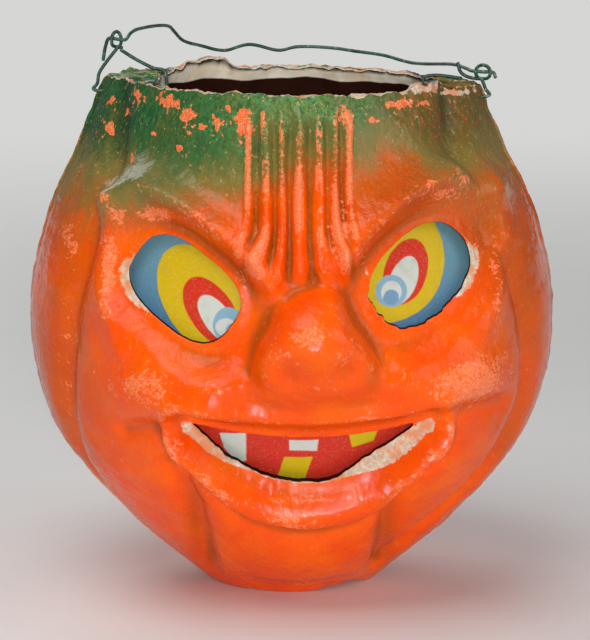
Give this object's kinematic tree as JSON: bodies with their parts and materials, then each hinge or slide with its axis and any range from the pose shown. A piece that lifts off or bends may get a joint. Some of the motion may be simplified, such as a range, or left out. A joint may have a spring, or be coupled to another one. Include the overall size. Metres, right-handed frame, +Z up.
{
  "type": "paper mache jack-o-lantern",
  "caption": "Moulded paper pulp pumpkin lantern with a grinning face, printed paper behind its cut-out eyes and mouth, a swinging wire handle and a tin candle cup.",
  "frame": {"origin": "middle of the object's bounding box at its base, on the plane it stands on", "axes": "+Z up, the face looks along -Y, +X to the viewer's right"},
  "size_m": [0.1524, 0.1474, 0.16],
  "materials": {
    "painted_pulp": "varnished orange paint on moulded pulp, green at the rim, worn at the edges",
    "printed_paper": "matt printed paper in blue, yellow, red and off-white",
    "green_wire": "green coated iron wire, weathered",
    "tinplate": "dull tinplate"
  },
  "bodies": {
    "shell": {"front_shell": "painted_pulp", "back_shell": "painted_pulp", "face_insert": "printed_paper", "ear_left": "green_wire", "ear_right": "green_wire", "candle_cup": "tinplate", "cup_rivet": "tinplate"},
    "handle": {"bail": "green_wire"}
  },
  "joints": [
    {"name": "handle_swing", "type": "hinge", "parent": "shell", "child": "handle", "pos_m": [-0.05011, 0.00713, 0.1574], "axis": [0.996, 0, -0.0892], "range_deg": [0, 184]}
  ]
}
